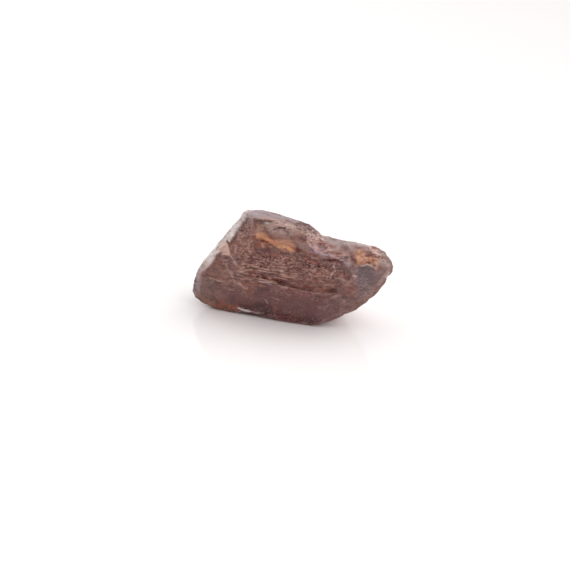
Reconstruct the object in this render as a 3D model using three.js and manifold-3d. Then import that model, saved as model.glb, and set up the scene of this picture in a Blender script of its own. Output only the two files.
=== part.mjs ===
// A rough crystal of enstatite: a stubby brown prism, broken at both ends, lying on one flat side.
//
// Frame: millimetres, +X along the crystal's length, +Y to the back, +Z up, resting on Z = 0.
// The crystal is described in places measured from the middle of its foot. At the end it is
// moved so that the origin is the middle of the underside of its bounding box.

import * as THREE from 'three';
import { ConvexGeometry } from 'three/addons/geometries/ConvexGeometry.js';
import { ImprovedNoise } from 'three/addons/math/ImprovedNoise.js';
import { mergeVertices } from 'three/addons/utils/BufferGeometryUtils.js';
import Module from 'manifold-3d';

const wasm = await Module();
wasm.setup();

// ---------------------------------------------------------------- driving dimensions (mm)

const BELOW_FOOT = -1.2; // the prism runs on below the foot before the foot is cut flat
const FACET_EDGE = 0.92; // longest triangle edge on the weathered surface

// Relief: ridges along the prism, lumps on its broken ends, and a wide swell over everything.
const STRIATION = { height: 0.12, pitch: 1.25, length: 9.0, riseDegrees: 1.5 };
const BROKEN_END = { height: 0.16, pitch: 1.9, leftStart: -9.0, rightStart: 7.5, blend: 3.0 };
const SWELL = { height: 0.2, pitch: 5.5 };
const AXIS = { y: 4.2, z: 6.4, left: -8.5, right: 5.0 }; // the prism's middle line

const SHELL_DETAIL = 1; // how finely the bowl of a shell-shaped break is divided

// The edges of the crystal, each a run of [x, y, z] corners. The crystal is the convex body
// around them all, before anything has broken off it.
const EDGES = {
  crest: [
    [-6.1, 0.35, 13.4], [-4.5, 1.2, 13.45], [-3.0, 1.2, 13.36], [-1.45, 1.15, 13.2], [-0.3, 1.1, 12.98],
    [1.0, 1.0, 12.7], [1.9, 1.0, 12.32], [2.7, 1.0, 11.98],
  ],
  wingCrest: [[7.4, 1.0, 11.5], [9.0, 1.0, 11.25], [10.0, 1.3, 11.0], [10.85, 1.5, 10.5]],
  nose: [[11.65, 1.5, 9.6], [11.85, 1.7, 8.8], [11.7, 1.9, 8.15]],
  topFront: [
    [-5.8, -0.3, 13.6], [-5.3, -1.25, 13.25], [-3.6, -1.3, 13.3], [-1.8, -1.15, 13.25], [-0.8, -0.6, 13.1],
    [0.2, -0.45, 12.7], [1.0, -0.3, 12.3],
  ],
  wingFront: [[6.3, 0.0, 11.4], [7.7, 0.0, 11.1], [9.1, 0.15, 10.8], [10.6, 0.5, 10.1], [11.35, 1.0, 9.5]],
  slantingEdge: [
    [-6.8, -0.35, 12.7], [-7.6, -0.3, 11.7], [-8.75, -0.3, 10.1], [-9.1, -0.6, 9.25], [-9.65, -1.15, 8.1],
    [-10.9, -0.45, 6.7], [-12.4, 0.0, 5.45],
  ],
  toe: [
    [-13.25, 0.1, 3.3], [-13.45, 0.15, 1.95], [-13.25, 0.3, 1.2], [-12.5, 0.6, 0.55], [-11.0, 1.1, 0.3],
  ],
  ledge: [
    [-4.3, -1.4, 10.6], [-2.1, -1.45, 9.95], [1.4, -1.45, 9.5], [4.6, -1.35, 9.4], [6.9, -1.0, 9.0],
    [8.1, -0.25, 8.6],
  ],
  crease: [[-11.9, 0.0, 3.8], [-6.9, -0.05, 3.85], [-0.4, 0.0, 4.7], [5.6, 0.35, 4.25]],
  underNose: [
    [4.0, 1.55, 0.7], [5.2, 1.45, 1.44], [7.18, 1.5, 2.67], [8.71, 1.5, 3.87], [9.69, 1.55, 4.94],
    [10.4, 1.8, 6.06], [10.95, 2.0, 7.2],
  ],
  noseFacet: [[8.5, 0.75, 5.1], [10.5, 0.9, 8.6]],
  lip: [[-10.2, 0.55, 0.15], [-4.0, 0.4, 0.15], [2.3, 0.75, 0.15]],
  foot: [
    [-8.0, 3.6, BELOW_FOOT], [-8.6, 7.4, BELOW_FOOT], [0.6, 3.7, BELOW_FOOT], [1.0, 8.0, BELOW_FOOT],
  ],
  toeBackLow: [[-13.1, 3.5, 1.6], [-12.5, 5.0, 0.9], [-11.0, 7.0, 1.0]],
  toeBack: [[-13.0, 3.4, 3.6], [-12.3, 4.4, 5.6], [-11.1, 5.0, 7.2]],
  roof: [[-8.6, 4.4, 9.6], [-6.0, 4.0, 11.9], [-2.0, 6.0, 10.4], [3.3, 4.6, 9.4], [8.0, 4.4, 9.1]],
  backUpper: [
    [-10.6, 6.0, 6.6], [-8.2, 8.2, 7.0], [-4.4, 9.2, 6.8], [-0.4, 9.0, 7.6], [4.6, 8.0, 7.4],
    [7.2, 6.0, 7.6],
  ],
  backLower: [
    [-11.5, 6.6, 3.0], [-8.5, 8.9, 2.6], [-0.4, 9.5, 3.2], [4.6, 8.2, 3.4], [6.0, 6.4, 3.8],
    [7.0, 4.6, 5.2], [9.9, 3.4, 7.0],
  ],
};

// Blocks that have broken away along flat faces, each the convex body around its corners.
const BROKEN_BLOCKS = {
  underTheLedge: [
    [-4.5, -0.8, 10.4], [-2.1, -0.8, 9.85], [1.4, -0.75, 9.4], [4.6, -0.7, 9.3], [7.0, -0.45, 8.9],
    [7.9, -0.2, 8.55], [7.2, -0.25, 7.2], [-6.2, -0.8, 6.8], [-4.3, -0.45, 5.7], [0.0, -0.12, 5.1],
    [3.4, -0.06, 5.0], [5.4, 0.1, 5.2], [-4.6, -3.0, 10.8], [8.2, -3.0, 8.9], [-7.2, -3.0, 6.4],
    [-4.6, -3.0, 4.6], [6.4, -3.0, 4.5],
  ],
  besideTheCrown: [
    [3.25, 1.0, 11.55], [7.4, 1.05, 11.46], [6.4, 0.0, 11.35], [3.5, -1.3, 10.2], [5.2, -1.15, 10.4],
    [1.6, 1.0, 12.7], [1.9, -0.3, 12.1], [2.4, -1.3, 11.0], [1.6, 1.0, 14.0], [7.4, 1.05, 14.0],
    [3.4, -3.0, 11.2],
  ],
  behindTheCrown: [
    [3.25, 1.0, 11.55], [7.4, 1.05, 11.46], [9.0, 1.2, 11.2], [3.8, 5.4, 9.0], [8.4, 4.8, 9.0],
    [1.6, 1.0, 12.7], [0.8, 3.1, 11.6], [0.9, 5.6, 9.7], [1.6, 1.0, 14.0], [9.0, 1.2, 14.0],
    [0.5, 5.6, 13.0], [8.6, 5.6, 13.0],
  ],
};

// Shell-shaped breaks. Each takes a shallow bowl out of the surface at one place: the way it
// faces, its half sizes along, across and into the surface, its depth, and its turn in degrees.
const SHELL_BREAKS = {
  bowlAboveTheLedge: {
    at: [-1.5, -1.35, 10.9], facing: [-0.1, -1, 0.45],
    half: [4.2, 2.4, 2.6], depth: 0.38, turn: 18,
  },
  hollowUnderTheLedge: {
    at: [-2.4, -0.75, 9.2], facing: [0, -1, -0.2],
    half: [3.6, 1.8, 1.9], depth: 0.42, turn: 9,
  },
  breakBesideTheHollow: {
    at: [-5.4, -0.95, 8.4], facing: [-0.3, -1, 0],
    half: [3.4, 4.4, 4.4], depth: 0.2, turn: -25,
  },
  bowlOfTheWing: {
    at: [9.3, 0.1, 9.8], facing: [0.3, -1, 0.35],
    half: [3.0, 2.0, 2.1], depth: 0.3, turn: 14,
  },
  biteOfTheSlantingEdge: {
    at: [-8.9, -0.75, 9.3], facing: [-0.6, -0.6, 0.5],
    half: [2.4, 1.7, 2.0], depth: 0.3, turn: -45,
  },
  biteUnderTheNose: {
    at: [11.2, 1.9, 7.4], facing: [0.8, -0.1, -0.6],
    half: [1.6, 1.2, 1.4], depth: 0.16, turn: 0,
  },
  chipOfTheFrontFoot: {
    at: [-6.1, 0.7, 0.1], facing: [0, -0.6, -0.8],
    half: [2.6, 0.8, 0.8], depth: 0.22, turn: 0,
  },
  breakOfTheBack: {
    at: [-5.4, 8.2, 8.9], facing: [-0.1, 0.75, 0.65],
    half: [6.4, 4.6, 4.6], depth: 0.9, turn: 8,
  },
  breakLowOnTheBack: {
    at: [3.2, 8.8, 2.2], facing: [0.25, 0.9, -0.4],
    half: [4.2, 2.2, 2.4], depth: 0.6, turn: -6,
  },
  breakOfTheBackTip: {
    at: [7.8, 5.3, 8.6], facing: [0.45, 0.6, 0.65],
    half: [3.2, 2.4, 2.2], depth: 0.55, turn: 20,
  },
  breakOfTheToe: {
    at: [-12.8, 4.4, 4.0], facing: [-0.9, 0.35, 0.25],
    half: [2.6, 2.2, 2.2], depth: 0.6, turn: 0,
  },
  breakOfTheCrown: {
    at: [-8.6, 3.6, 9.9], facing: [-0.75, 0.2, 0.65],
    half: [2.8, 2.3, 2.2], depth: 0.55, turn: 0,
  },
  bowlOfTheRoof: {
    at: [0.8, 4.6, 10.9], facing: [0.1, 0.5, 0.85],
    half: [3.4, 2.0, 1.8], depth: 0.4, turn: 10,
  },
};

// Long shallow cleavage steps along the prism: the middle of each and its half length, width
// and height.
const CLEAVAGE_STEPS = {
  frontLeft: { at: [-9.4, -0.52, 4.9], half: [3.4, 0.3, 0.9] },
  frontMiddle: { at: [0.6, -0.46, 6.4], half: [3.8, 0.3, 0.8] },
  frontRight: { at: [4.9, -0.42, 6.6], half: [2.8, 0.3, 0.8] },
  frontUpperLeft: { at: [-7.6, -1.2, 7.6], half: [2.6, 0.3, 0.8] },
  backUpper: { at: [-0.6, 9.2, 8.4], half: [5.2, 0.7, 0.9] },
  backMiddle: { at: [-3.2, 9.8, 5.2], half: [6.4, 0.5, 1.2] },
  backRight: { at: [3.0, 9.4, 5.7], half: [3.8, 0.7, 1.0] },
  backLowLeft: { at: [-8.0, 9.0, 3.9], half: [3.8, 0.5, 1.1] },
  roofLeft: { at: [-3.4, 3.6, 12.6], half: [4.4, 1.2, 0.5] },
  roofRight: { at: [6.0, 3.4, 10.6], half: [3.0, 1.1, 0.5] },
};

// Small chips along the edges: their spacing, the least and most of radius and depth, how much
// longer and thicker than its radius a chip is, and how far its aim and its turn vary.
const CHIPS = {
  spacing: 2.8, radius: [1.5, 3.2], depth: [0.08, 0.24], lengthening: 1.7, thickening: 1.3,
  aimSpread: 3.0, turnDegrees: 60, seed: 7,
};
const CHIPPED_EDGES = [
  'crest', 'wingCrest', 'wingFront', 'ledge', 'slantingEdge', 'roof', 'backUpper', 'backLower',
  'toeBack', 'toeBackLow',
];

// ---------------------------------------------------------------- solids and meshes

function closedGeometry(geometry) {
  const bare = geometry.clone();
  bare.deleteAttribute('normal');
  bare.deleteAttribute('uv');
  return mergeVertices(bare, 1e-4);
}

function solid(geometry) {
  const closed = closedGeometry(geometry);
  return new wasm.Manifold(new wasm.Mesh({
    numProp: 3,
    vertProperties: new Float32Array(closed.attributes.position.array),
    triVerts: new Uint32Array(closed.index.array),
  }));
}

function geometryOf(body) {
  const mesh = body.getMesh();
  const geometry = new THREE.BufferGeometry();
  geometry.setAttribute('position', new THREE.BufferAttribute(mesh.vertProperties, 3));
  geometry.setIndex(new THREE.BufferAttribute(mesh.triVerts, 1));
  return geometry;
}

function convexBody(corners) {
  return solid(new ConvexGeometry(corners.map((corner) => new THREE.Vector3(...corner))));
}

function shellBreak({ at, facing, half, depth, turn }) {
  const outward = new THREE.Vector3(...facing).normalize();
  const toSurface = new THREE.Quaternion().setFromUnitVectors(new THREE.Vector3(0, 0, 1), outward);
  const shell = new THREE.IcosahedronGeometry(1, SHELL_DETAIL);
  shell.scale(...half);
  shell.rotateZ(THREE.MathUtils.degToRad(turn));
  shell.applyQuaternion(toSurface);
  const centre = new THREE.Vector3(...at).addScaledVector(outward, half[2] - depth);
  shell.translate(centre.x, centre.y, centre.z);
  return solid(shell);
}

function cleavageStep({ at, half }) {
  const step = new THREE.OctahedronGeometry(1, 0);
  step.scale(...half);
  step.rotateY(-THREE.MathUtils.degToRad(STRIATION.riseDegrees));
  step.translate(...at);
  return solid(step);
}

// A run of small chips along one edge. random() gives the next number from 0 to 1.
function chipsAlong(run, random) {
  const edge = new THREE.CurvePath();
  const corners = run.map((corner) => new THREE.Vector3(...corner));
  for (let i = 1; i < corners.length; i += 1) {
    edge.add(new THREE.LineCurve3(corners[i - 1], corners[i]));
  }
  const between = ([least, most]) => THREE.MathUtils.lerp(least, most, random());
  const count = Math.round(edge.getLength() / CHIPS.spacing);
  return Array.from({ length: count }, (_, i) => {
    const place = edge.getPoint((i + THREE.MathUtils.lerp(0.2, 0.8, random())) / count);
    const aimedFrom = place.x + CHIPS.aimSpread * (random() - 0.5);
    const middle = THREE.MathUtils.clamp(aimedFrom, AXIS.left, AXIS.right);
    const radius = between(CHIPS.radius);
    return shellBreak({
      at: place.toArray(),
      facing: [place.x - middle, place.y - AXIS.y, place.z - AXIS.z],
      half: [CHIPS.lengthening * radius, radius, CHIPS.thickening * radius],
      depth: between(CHIPS.depth),
      turn: CHIPS.turnDegrees * (random() - 0.5),
    });
  });
}

// ---------------------------------------------------------------- finer facets

// The triangle on each side of every edge, found by the edge's two ends in order.
function trianglesBySide(triangles) {
  const sides = new Map();
  triangles.forEach((corners, index) => {
    corners.forEach((from, side) => sides.set(`${from},${corners[(side + 1) % 3]}`, index));
  });
  return sides;
}

// Calls change(edge) for each edge, longest first, and leaves alone for this round both
// triangles of an edge that was changed. Says how many edges were changed.
function changeEdges(points, triangles, wanted, change) {
  const sides = trianglesBySide(triangles);
  const edges = [];
  triangles.forEach((corners, one) => {
    corners.forEach((from, side) => {
      const to = corners[(side + 1) % 3];
      if (from > to) return;
      const other = sides.get(`${to},${from}`);
      const apex = corners[(side + 2) % 3];
      const farApex = triangles[other].find((corner) => corner !== from && corner !== to);
      const edge = { from, to, apex, farApex, one, other, length: points[from].distanceTo(points[to]) };
      if (wanted(edge, sides)) edges.push(edge);
    });
  });
  edges.sort((a, b) => b.length - a.length);
  const touched = new Set();
  let changed = 0;
  for (const edge of edges) {
    if (touched.has(edge.one) || touched.has(edge.other)) continue;
    touched.add(edge.one).add(edge.other);
    change(edge);
    changed += 1;
  }
  return changed;
}

function splitLongEdges(points, triangles, longest) {
  const isLong = (edge) => edge.length > longest;
  return changeEdges(points, triangles, isLong, ({ from, to, apex, farApex, one, other }) => {
    const middle = points.length;
    points.push(points[from].clone().lerp(points[to], 0.5));
    triangles[one] = [from, middle, apex];
    triangles[other] = [to, middle, farApex];
    triangles.push([middle, to, apex], [middle, from, farApex]);
  });
}

function normalOf(points, [a, b, c]) {
  return new THREE.Triangle(points[a], points[b], points[c]).getNormal(new THREE.Vector3());
}

function angleAt(points, corner, a, b) {
  const toA = points[a].clone().sub(points[corner]);
  return toA.angleTo(points[b].clone().sub(points[corner]));
}

// Turns the edge between two triangles of one flat face where that makes both less thin.
function turnThinEdges(points, triangles) {
  const flat = 0.99999; // cosine of the angle between the two triangles' normals
  const halfTurn = Math.PI + 1e-3;
  const turned = new Set();
  const makesThin = ({ from, to, apex, farApex, one, other }, sides) => {
    const facingAngles = angleAt(points, apex, from, to) + angleAt(points, farApex, from, to);
    if (facingAngles < halfTurn) return false;
    if (sides.has(`${apex},${farApex}`) || sides.has(`${farApex},${apex}`)) return false;
    return normalOf(points, triangles[one]).dot(normalOf(points, triangles[other])) > flat;
  };
  return changeEdges(points, triangles, makesThin, ({ from, to, apex, farApex, one, other }) => {
    const key = [apex, farApex].sort().join();
    if (turned.has(key)) return;
    turned.add(key);
    triangles[one] = [apex, from, farApex];
    triangles[other] = [farApex, to, apex];
  });
}

// The same body with no triangle edge longer than longest.
function finelyFaceted(geometry, longest) {
  const place = geometry.attributes.position;
  const points = [];
  for (let i = 0; i < place.count; i += 1) {
    points.push(new THREE.Vector3().fromBufferAttribute(place, i));
  }
  const corners = geometry.index.array;
  const triangles = [];
  for (let i = 0; i < corners.length; i += 3) {
    triangles.push([corners[i], corners[i + 1], corners[i + 2]]);
  }
  const turningRounds = 4;
  do {
    for (let round = 0; round < turningRounds; round += 1) {
      turnThinEdges(points, triangles);
    }
  } while (splitLongEdges(points, triangles, longest) > 0);
  const fine = new THREE.BufferGeometry().setFromPoints(points);
  fine.setIndex(triangles.flat());
  return fine;
}

// ---------------------------------------------------------------- the weathered surface

const noise = new ImprovedNoise();

// Places far apart in the noise, so that layers made from it don't repeat each other.
const LAYERS = { fine: 7.3, lump: 11.0, lumpAlong: 23.0, swell: 3.1 };

// Two octaves of smooth noise, from about -1 to 1.
function grain(x, y, z) {
  const finer = 2.1;
  const fine = noise.noise(finer * x + LAYERS.fine, finer * y + LAYERS.fine, finer * z + LAYERS.fine);
  return noise.noise(x, y, z) + 0.5 * fine;
}

// How much of the surface here is a broken end: 0 on the prism, 1 at both ends.
function endShare(x) {
  const { leftStart, rightStart, blend } = BROKEN_END;
  const left = THREE.MathUtils.smoothstep(leftStart - x, 0, blend);
  const right = THREE.MathUtils.smoothstep(x - rightStart, 0, blend);
  return Math.max(left, right);
}

// Moves one point of the smooth body to the weathered surface. The ridges of the prism run
// along its length and rise towards its right tip, and the broken ends are lumpy.
function weather(point) {
  const rise = Math.tan(THREE.MathUtils.degToRad(STRIATION.riseDegrees));
  const across = new THREE.Vector2(point.y - AXIS.y, point.z - AXIS.z).normalize();
  const share = endShare(point.x);
  const ridgeY = point.y / STRIATION.pitch;
  const ridgeZ = (point.z - rise * point.x) / STRIATION.pitch;
  const ridge = STRIATION.height * grain(point.x / STRIATION.length, ridgeY, ridgeZ);
  const scaled = point.clone().divideScalar(BROKEN_END.pitch);
  const lump = BROKEN_END.height * grain(scaled.x + LAYERS.lump, scaled.y, scaled.z);
  const lumpAlong = BROKEN_END.height * grain(scaled.x, scaled.y + LAYERS.lumpAlong, scaled.z);
  const wide = point.clone().divideScalar(SWELL.pitch);
  const swell = SWELL.height * noise.noise(wide.x + LAYERS.swell, wide.y, wide.z);
  const outward = ridge * (1 - share) + lump * share + swell;
  return new THREE.Vector3(
    point.x + lumpAlong * share,
    point.y + across.x * outward,
    point.z + across.y * outward,
  );
}

function weathered(body) {
  const fine = finelyFaceted(geometryOf(body), FACET_EDGE);
  const place = fine.attributes.position;
  const point = new THREE.Vector3();
  for (let i = 0; i < place.count; i += 1) {
    const moved = weather(point.fromBufferAttribute(place, i));
    place.setXYZ(i, moved.x, moved.y, moved.z);
  }
  return solid(fine);
}

// ---------------------------------------------------------------- the crystal

function carvedBody() {
  let body = convexBody(Object.values(EDGES).flat());
  for (const block of Object.values(BROKEN_BLOCKS)) {
    body = body.subtract(convexBody(block));
  }
  for (const shell of Object.values(SHELL_BREAKS)) {
    body = body.subtract(shellBreak(shell));
  }
  for (const step of Object.values(CLEAVAGE_STEPS)) {
    body = body.subtract(cleavageStep(step));
  }
  let seed = CHIPS.seed;
  const random = () => THREE.MathUtils.seededRandom(seed++);
  for (const name of CHIPPED_EDGES) {
    for (const chip of chipsAlong(EDGES[name], random)) {
      body = body.subtract(chip);
    }
  }
  return body;
}

// Cuts off everything below the foot, so that the crystal rests on one flat face.
function cutFoot(body) {
  const side = 60;
  const ground = new THREE.BoxGeometry(side, side, side);
  ground.translate(0, 0, -side / 2);
  return body.subtract(solid(ground));
}

const crystal = new THREE.Mesh(
  geometryOf(cutFoot(weathered(carvedBody()))),
  new THREE.MeshStandardMaterial({ color: 0x7a5850, roughness: 0.38, metalness: 0.0 }),
);
crystal.name = 'enstatite_crystal';

const box = new THREE.Box3().setFromObject(crystal);
crystal.position.set(-(box.min.x + box.max.x) / 2, -(box.min.y + box.max.y) / 2, 0);

const group = new THREE.Group();
group.add(crystal);

export default group;
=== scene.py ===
import math

import bpy
import numpy as np
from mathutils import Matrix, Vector, noise


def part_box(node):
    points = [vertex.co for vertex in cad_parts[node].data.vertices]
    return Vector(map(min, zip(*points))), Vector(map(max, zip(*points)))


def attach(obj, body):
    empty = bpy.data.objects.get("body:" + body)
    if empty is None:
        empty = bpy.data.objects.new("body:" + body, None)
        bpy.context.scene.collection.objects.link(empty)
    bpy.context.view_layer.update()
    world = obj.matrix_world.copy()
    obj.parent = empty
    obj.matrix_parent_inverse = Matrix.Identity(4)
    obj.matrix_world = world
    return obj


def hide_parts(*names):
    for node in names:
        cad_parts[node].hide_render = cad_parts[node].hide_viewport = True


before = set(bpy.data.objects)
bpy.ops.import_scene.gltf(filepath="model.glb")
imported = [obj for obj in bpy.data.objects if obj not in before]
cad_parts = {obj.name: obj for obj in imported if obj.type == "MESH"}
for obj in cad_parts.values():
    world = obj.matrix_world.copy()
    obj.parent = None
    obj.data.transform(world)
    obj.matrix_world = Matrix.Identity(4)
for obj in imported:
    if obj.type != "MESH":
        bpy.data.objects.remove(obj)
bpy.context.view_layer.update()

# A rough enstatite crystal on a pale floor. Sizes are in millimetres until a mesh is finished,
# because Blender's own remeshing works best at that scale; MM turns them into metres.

MM = 0.001
NODE = "enstatite_crystal"

# ------------------------------------------------------------------ camera

IMAGE_SIZE = 570  # pixels, square
LENS = 100.0  # mm, as on a real camera
SENSOR = 36.0
NEAREST = 0.01  # m, the camera sees nothing closer than this
CAMERA_TARGET = Vector((-0.789, -2.753, 4.4825))  # mm
CAMERA_AZIMUTH = 25.0  # degrees, towards the pointed end
CAMERA_ELEVATION = 22.0  # degrees
CAMERA_DISTANCE = 187.155  # mm


def camera_axes():
    """The camera's own directions: right, up and back."""
    azimuth = math.radians(CAMERA_AZIMUTH)
    elevation = math.radians(CAMERA_ELEVATION)
    level = math.cos(elevation)
    back = Vector((math.sin(azimuth) * level, -math.cos(azimuth) * level, math.sin(elevation)))
    right = Vector((math.cos(azimuth), math.sin(azimuth), 0.0))
    return right, back.cross(right), back


def camera_place():
    """Where the camera stands, in mm."""
    return CAMERA_TARGET + CAMERA_DISTANCE * camera_axes()[2]


def make_camera():
    """The camera of the picture, with a long lens."""
    data = bpy.data.cameras.new("camera")
    data.lens = LENS
    data.sensor_width = SENSOR
    data.clip_start = NEAREST
    camera = bpy.data.objects.new("camera", data)
    bpy.context.scene.collection.objects.link(camera)
    camera.location = camera_place() * MM
    camera.rotation_euler = (-camera_axes()[2]).to_track_quat("-Z", "Y").to_euler()
    bpy.context.scene.camera = camera


def picture_places(points):
    """Where points, in mm, lie in the 570 x 570 picture: pixels across and pixels down."""
    right, up, back = (np.array(axis) for axis in camera_axes())
    from_camera = points - np.array(camera_place())
    scale = LENS / SENSOR * IMAGE_SIZE / -(from_camera @ back)
    across = IMAGE_SIZE / 2 + scale * (from_camera @ right)
    down = IMAGE_SIZE / 2 - scale * (from_camera @ up)
    return np.stack([across, down], axis=1)


def facing_camera(points, normals):
    """1 where the surface faces the camera of the picture, 0 where it is side on, negative behind."""
    to_camera = np.array(camera_place()) - points
    return np.einsum("ij,ij->i", normals, to_camera) / np.linalg.norm(to_camera, axis=1)


# ------------------------------------------------------------------ floor and light

# The floor reaches this far each way, in metres, and is glossy enough to mirror the crystal.
FLOOR = {"reach": 2.0, "color": (0.960, 0.938, 0.934, 1.0), "roughness": 0.10, "ior": 1.32}

# The soft light comes from three broad lobes of the sky: from the right, from the left, and a little
# from behind. Each has the direction of its middle, the cosine of the angle from there at which it
# begins, and the strength that it reaches in its middle.
SKY_COLOR = (1.0, 0.994, 0.992, 1.0)
SKY_LOBES = [
    ((0.85, 0.10, 0.52), 0.30, 2.387),
    ((-0.85, 0.10, 0.52), 0.30, 1.262),
    ((0.0, 0.80, 0.60), 0.30, 0.35),
]


def make_floor():
    """The pale floor, which isn't part of the object."""
    reach = FLOOR["reach"]
    mesh = bpy.data.meshes.new("floor")
    corners = [(-reach, -reach, 0.0), (reach, -reach, 0.0), (reach, reach, 0.0), (-reach, reach, 0.0)]
    mesh.from_pydata(corners, [], [(0, 1, 2, 3)])
    floor = bpy.data.objects.new("floor", mesh)
    bpy.context.scene.collection.objects.link(floor)
    material = bpy.data.materials.new("pale_floor")
    material.use_nodes = True
    shader = material.node_tree.nodes["Principled BSDF"]
    shader.inputs["Base Color"].default_value = FLOOR["color"]
    shader.inputs["Roughness"].default_value = FLOOR["roughness"]
    shader.inputs["IOR"].default_value = FLOOR["ior"]
    mesh.materials.append(material)


def sky_lobe(tree, direction, middle, begins, strength):
    """The light that one lobe sends from every direction."""
    facing = tree.nodes.new("ShaderNodeVectorMath")
    facing.operation = "DOT_PRODUCT"
    facing.inputs[1].default_value = middle
    lobe = tree.nodes.new("ShaderNodeMapRange")
    lobe.interpolation_type = "SMOOTHSTEP"
    lobe.inputs["From Min"].default_value = begins
    lobe.inputs["To Max"].default_value = strength
    tree.links.new(direction, facing.inputs[0])
    tree.links.new(facing.outputs["Value"], lobe.inputs["Value"])
    return lobe.outputs["Result"]


def make_sky():
    """The lobes together, and no light between them."""
    world = bpy.data.worlds.new("studio")
    world.use_nodes = True
    tree = world.node_tree
    direction = tree.nodes.new("ShaderNodeTexCoord").outputs["Generated"]
    lobes = [sky_lobe(tree, direction, *lobe) for lobe in SKY_LOBES]
    total = lobes[0]
    for lobe in lobes[1:]:
        both = tree.nodes.new("ShaderNodeMath")
        both.operation = "ADD"
        tree.links.new(total, both.inputs[0])
        tree.links.new(lobe, both.inputs[1])
        total = both.outputs["Value"]
    background = tree.nodes["Background"]
    background.inputs["Color"].default_value = SKY_COLOR
    tree.links.new(total, background.inputs["Strength"])
    bpy.context.scene.world = world


# ------------------------------------------------------------------ the fine mesh

VOXEL = 0.125  # mm
SOFTENING = {"share": 0.5, "rounds": 1}  # how far points go to their neighbours' middle, how often
LAYER_STEP = 17.3  # cells of noise from one of its layers to the next


def fine_copy(source):
    """A finely and evenly divided copy of the CAD node's mesh, in mm."""
    mesh = source.data.copy()
    for vertex in mesh.vertices:
        vertex.co /= MM
    scratch = bpy.data.objects.new("scratch", mesh)
    bpy.context.scene.collection.objects.link(scratch)
    remesh = scratch.modifiers.new("even", "REMESH")
    remesh.mode = "VOXEL"
    remesh.voxel_size = VOXEL
    smooth = scratch.modifiers.new("soften", "SMOOTH")
    smooth.factor = SOFTENING["share"]
    smooth.iterations = SOFTENING["rounds"]
    depsgraph = bpy.context.evaluated_depsgraph_get()
    fine = bpy.data.meshes.new_from_object(scratch.evaluated_get(depsgraph))
    bpy.data.objects.remove(scratch)
    return fine


def vectors_of(elements, name):
    """A vector of every element, such as its place or normal, one row each."""
    flat = np.zeros(3 * len(elements))
    elements.foreach_get(name, flat)
    return flat.reshape(-1, 3)


def smooth_noise(points, cell, layer):
    """Smooth noise, about -1 to 1. cell is the size of its lumps in mm, one number or one an axis."""
    scaled = points / np.asarray(cell) + LAYER_STEP * layer
    return np.array([noise.noise(place) for place in scaled.tolist()])


def ramp(values, low, high):
    """0 at low, 1 at high, smooth between them."""
    share = np.clip((values - low) / (high - low), 0.0, 1.0)
    return share * share * (3.0 - 2.0 * share)


# ------------------------------------------------------------------ colours and places

# The colours of the mineral as they look in the studio's light, red, green and blue to 255.
SEEN = {
    "brown": (122, 88, 82),
    "dark": (78, 47, 45),
    "soot": (72, 56, 56),
    "red": (104, 42, 36),
    "brick": (122, 72, 66),
    "rust": (126, 86, 78),
    "amber": (150, 94, 76),
    "gold": (188, 138, 111),
    "bright_gold": (208, 154, 118),
    "copper": (196, 142, 122),
    "rose": (158, 118, 107),
    "tan": (198, 165, 153),
    "tan_brown": (124, 84, 74),
    "umber": (104, 72, 68),
    "olive": (156, 123, 106),
    "smoky": (126, 97, 90),
    "dusty": (158, 128, 121),
    "purple": (110, 80, 82),
    "plum": (122, 86, 87),
    "taupe": (140, 106, 99),
    "ash": (168, 142, 135),
    "honey": (152, 114, 97),
    "deep_purple": (86, 60, 64),
    "violet": (148, 124, 132),
    "grey_mauve": (166, 149, 153),
    "warm_grey": (172, 156, 152),
    "dark_grey": (106, 92, 92),
    "blue_grey": (110, 94, 96),
    "pale_blue": (160, 144, 150),
    "pink": (194, 168, 163),
    "cream": (166, 146, 135),
    "pale": (224, 193, 191),
    "white": (255, 250, 248),
}
LIT = 0.58  # how much of a surface's own colour comes back to the camera
GLOSS = 0.044  # how much reflected light is added to it
BRIGHTEST = 255.0
GAMMA = 2.2  # turns what is seen into linear light
PIGMENT_LIMITS = (0.004, 0.97)  # the darkest and the palest surface colour

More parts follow.
